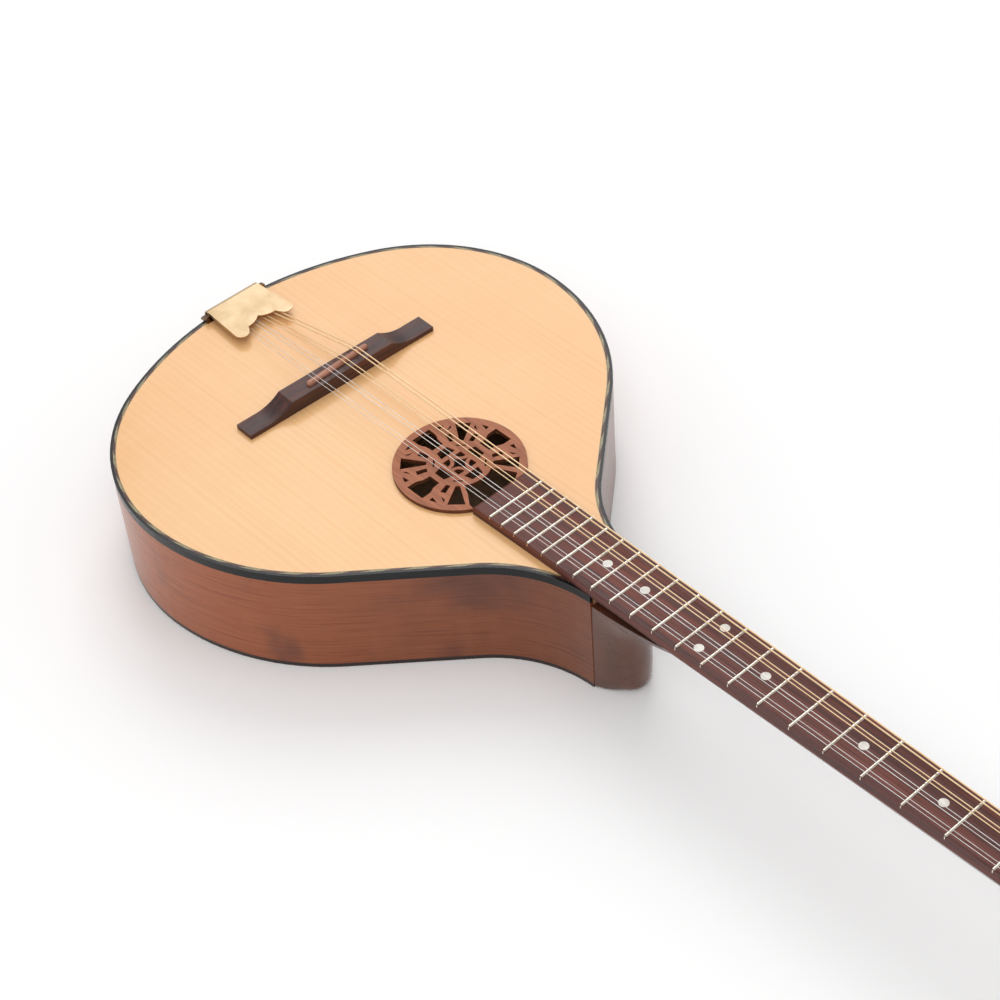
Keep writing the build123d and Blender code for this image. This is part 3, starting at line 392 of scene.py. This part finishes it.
looks = {
    "soundboard": "spruce_top",
    "top_binding": "binding",
    "back_plate": "back_wood",
    # The bass side takes the darker side wood copy: painted shade.
    "side_bass": "side_wood_painted_shade",
    "side_treble": "side_wood",
    "neck": "neck_wood",
    "neck_block": "inner_wood",
    "tail_block": "inner_wood",
    "top_linings": "inner_wood",
    "back_linings": "inner_wood",
    "top_braces": "brace_spruce",
    "back_braces": "brace_spruce",
    "rosette": "rosette_wood",
    "bridge": "bridge_wood",
    "bridge_saddle": "saddle_wood",
    # The base takes the dark metal copy: painted shade.
    "tailpiece_base": "base_metal_painted_shade",
    "tailpiece_cover": "tail_metal",
    "tailpiece_screws": "steel",
    "end_pin": "bridge_wood",
    "fretboard": "board_wood",
    "frets": "fret_wire",
    "fret_markers": "pearl",
    "nut": "bone",
    "headplate": "plate_wood",
    "tuner_plate_bass": "tuner_metal",
    "tuner_plate_treble": "tuner_metal",
    "tuner_screws": "tuner_metal",
    "truss_cover_screws": "steel",
    "post_bushings": "tuner_metal",
    "truss_rod": "steel",
    "truss_rod_cover": "black_plastic",
    "string_course_1": "string_steel",
    "string_course_2": "string_steel",
    "string_course_3": "string_bronze",
    "string_course_4": "string_bronze",
}
for number in range(1, 9):
    looks[f"tuner_button_{number}"] = "button_plastic"
    looks[f"worm_shaft_{number}"] = "tuner_metal"
    looks[f"string_post_{number}"] = "tuner_metal"

for name, made in nodes.items():
    made.data.materials.clear()
    made.data.materials.append(materials[looks.get(name, "binding")])


def new_piece(name, mesh, body, slot_name, *paints):
    """Object from a bmesh, riding on a body."""
    data = bpy.data.meshes.new(name)
    mesh.to_mesh(data)
    mesh.free()
    made = bpy.data.objects.new(name, data)
    bpy.context.scene.collection.objects.link(made)
    for paint in paints:
        data.materials.append(paint)
    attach(made, body)
    return made


# ---- rope purfling -----------------------------------------------------------------------------

# Half outline from the tail: radius in mm and turn in degrees of each arc. No radius marks the
# straight run, with its length in mm. The last arc bends the other way.
outline_arcs = ((219.9, -28.28), (123.5, -65.20), (154.1, -45.57), (None, 83.8), (91.8, 46.89))


def outline_point(inset, distance):
    """Point on the treble half, in metres, inset and a distance along the outline in mm."""
    place = Vector((tail_x / MM, 0.0))
    heading = 90.0
    left = distance
    for radius, amount in outline_arcs:
        length = amount if radius is None else radius * radians(abs(amount))
        used = min(left, length)
        if radius is None:
            place = place + used * Vector((cos(radians(heading)), sin(radians(heading))))
        else:
            turn = (1 if amount > 0 else -1) * used / radius
            side = 1 if amount > 0 else -1
            centre = place + side * radius * Vector((-sin(radians(heading)), cos(radians(heading))))
            arm = place - centre
            place = centre + Vector(
                (arm.x * cos(turn) - arm.y * sin(turn), arm.x * sin(turn) + arm.y * cos(turn))
            )
            heading += turn * 180 / pi
        left -= used
        if left <= 1e-9:
            break
    normal = Vector((sin(radians(heading)), -cos(radians(heading))))
    point = place + inset * normal
    return Vector((point.x * MM, point.y * MM))


half_length = sum(amount if radius is None else radius * radians(abs(amount)) for radius, amount in outline_arcs)


def purfling():
    """Slanted dark and pale lozenges between thin lines, inlaid flush with the top."""
    mesh = bmesh.new()
    bands = ((1.6, 1.95, 0), (1.95, 3.35, None), (3.35, 3.55, 0), (3.55, 3.9, 3))
    lozenge, slant, steps = 12.5, 7.0, 4
    depth = 1.5 * MM

    def tile(side, corners, paint):
        top = []
        low = []
        for inset, distance in corners:
            point = outline_point(inset, min(max(distance, 0.0), half_length))
            top.append(mesh.verts.new((point.x, side * point.y, deck)))
            low.append(mesh.verts.new((point.x, side * point.y, deck - depth)))
        faces = [mesh.faces.new(top if side < 0 else list(reversed(top)))]
        count = len(top)
        for index in range(count):
            after = (index + 1) % count
            quad = (top[index], top[after], low[after], low[index])
            faces.append(mesh.faces.new(quad if side > 0 else tuple(reversed(quad))))
        faces.append(mesh.faces.new(low if side > 0 else list(reversed(low))))
        for face in faces:
            face.material_index = paint

    for side in (-1, 1):
        for first, last, paint in bands:
            if paint is None:
                count = int(half_length / lozenge) + 2
                for index in range(-1, count):
                    colour = 1 + index % 2
                    for step in range(steps):
                        low = index * lozenge + step * lozenge / steps
                        high = low + lozenge / steps
                        if high <= 0.01 or low >= half_length:
                            continue
                        corners = ((first, low), (first, high), (last, high + slant), (last, low + slant))
                        ends = [distance for _, distance in corners]
                        if max(ends) - max(0, min(ends)) < 0.2:
                            continue
                        tile(side, corners, colour)
            else:
                count = int(half_length / 3.0)
                for index in range(count):
                    low, high = index * half_length / count, (index + 1) * half_length / count
                    tile(side, ((first, low), (first, high), (last, high), (last, low)), paint)
    bmesh.ops.remove_doubles(mesh, verts=mesh.verts, dist=1e-6)
    black = rosewood("line_black", srgb(40, 34, 30), srgb(30, 26, 24), srgb(20, 18, 18), (200.0, 200.0, 200.0), 0.25)
    brown = rosewood("rope_brown", srgb(104, 66, 50), srgb(84, 50, 40), srgb(62, 38, 32), (300.0, 300.0, 300.0), 0.28)
    pale_shades = srgb(170, 158, 120), srgb(152, 140, 106), srgb(126, 116, 86)
    pale = rosewood("rope_pale", *pale_shades, (300.0, 300.0, 300.0), 0.28)
    cream_shades = srgb(214, 190, 150), srgb(196, 170, 132), srgb(172, 146, 110)
    cream = rosewood("line_cream", *cream_shades, (300.0, 300.0, 300.0), 0.28)
    made = new_piece("rope_purfling", mesh, "instrument", "purfling", black, brown, pale, cream)
    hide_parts("soundboard_purfling")


purfling()


# ---- string windings ---------------------------------------------------------------------------


def tube(mesh, points, radius, sides=8):
    """Round tube along points, closed at both ends."""
    rings = []
    up = Vector((0, 0, 1))
    for index, point in enumerate(points):
        before, after = points[max(index - 1, 0)], points[min(index + 1, len(points) - 1)]
        ahead = (after - before).normalized()
        across = ahead.cross(up).normalized()
        lift = across.cross(ahead).normalized()
        ring = []
        for step in range(sides):
            turn = 2 * pi * step / sides
            ring.append(mesh.verts.new(point + radius * (cos(turn) * across + sin(turn) * lift)))
        rings.append(ring)
    for first, second in zip(rings, rings[1:]):
        for step in range(sides):
            after = (step + 1) % sides
            face = mesh.faces.new((first[step], first[after], second[after], second[step]))
            face.smooth = True
    mesh.faces.new(list(reversed(rings[0])))
    mesh.faces.new(rings[-1])


wire_radii = (0.165, 0.165, 0.21, 0.21, 0.32, 0.32, 0.46, 0.46)
post_radius, winding_top, winding_turns, winding_gap = 3.0, 10.5, 4.0, 0.4


def windings():
    """Turns of each string round its post, riding on the post, just below the string's fixed end."""
    for number in range(1, 9):
        joint = joints[f"post_spin_{number}"]
        centre, axis = Vector(joint["pos_m"]), Vector(joint["axis"]).normalized()
        side = 1 if centre.y > 0 else -1
        across = Vector((0, 1, 0))
        along = across.cross(axis).normalized()
        radius = wire_radii[number - 1] * MM
        reach = post_radius * MM + radius + 0.00005
        drop = 2 * radius + winding_gap * MM
        mesh = bmesh.new()
        points = []
        samples = int(winding_turns * 20)
        for index in range(samples + 1):
            turn = index / 20 * 2 * pi
            height = winding_top * MM - drop - turn / (2 * pi) * (2 * radius + 0.00004)
            spot = centre + axis * height
            points.append(spot - side * across * cos(turn) * reach + along * sin(turn) * reach)
        tube(mesh, points, radius)
        plain = number <= 4
        paint = materials["string_steel" if plain else "string_bronze"]
        new_piece(f"winding_{number}", mesh, f"post_{number}", "string_steel" if plain else "string_bronze", paint)


windings()


# ---- floor, light and camera -------------------------------------------------------------------


def studio():
    """Pale floor, soft light from behind the tail and above, and a small fill from the camera side."""
    mesh = bmesh.new()
    bmesh.ops.create_grid(mesh, x_segments=8, y_segments=8, size=9.0)
    data = bpy.data.meshes.new("studio_floor")
    mesh.to_mesh(data)
    mesh.free()
    floor = bpy.data.objects.new("studio_floor", data)
    floor.location.z = -0.0005
    data.materials.append(floor_paint())
    bpy.context.scene.collection.objects.link(floor)

    world = bpy.data.worlds.new("studio")
    world.use_nodes = True
    world.node_tree.nodes["Background"].inputs[0].default_value = (1.0, 1.0, 1.0, 1.0)
    world.node_tree.nodes["Background"].inputs[1].default_value = 0.60
    bpy.context.scene.world = world

    for name, place, width, height, power in (
        ("key", (-1.6, 1.3, 2.2), 1.6, 1.6, 23.0),
        ("fill", (0.9, -0.95, 1.6), 0.8, 0.8, 8.0),
        ("overhead", (0.0, 0.0, 3.0), 3.0, 2.0, 15.0),
    ):
        lamp = bpy.data.lights.new(name, "AREA")
        lamp.shape = "RECTANGLE"
        lamp.size, lamp.size_y = width, height
        lamp.energy = power
        made = bpy.data.objects.new(name, lamp)
        made.location = place
        made.rotation_euler = (Vector((0, 0, 0)) - Vector(place)).to_track_quat("-Z", "Y").to_euler()
        bpy.context.scene.collection.objects.link(made)


def camera():
    """Camera above the treble side, looking down on the body, with the neck running out of the frame."""
    data = bpy.data.cameras.new("camera")
    data.lens, data.sensor_width = 80.925, 36.0
    data.clip_start, data.clip_end = 0.05, 20.0
    made = bpy.data.objects.new("camera", data)
    saddle_x = tail_x / MM + 113.2
    across, down = Vector((0.674798, 0.73555, -0.060117)), Vector((0.483081, -0.501824, -0.7175))
    back = across.cross(-down)
    place = Vector(((saddle_x + 924.50) * MM, -0.62678, deck + 0.95094))
    rotation = Matrix((across, -down, back)).transposed().to_4x4()
    made.matrix_world = Matrix.Translation(place) @ rotation
    bpy.context.scene.collection.objects.link(made)
    bpy.context.scene.camera = made


studio()
camera()
bpy.context.scene.view_settings.view_transform = "Standard"
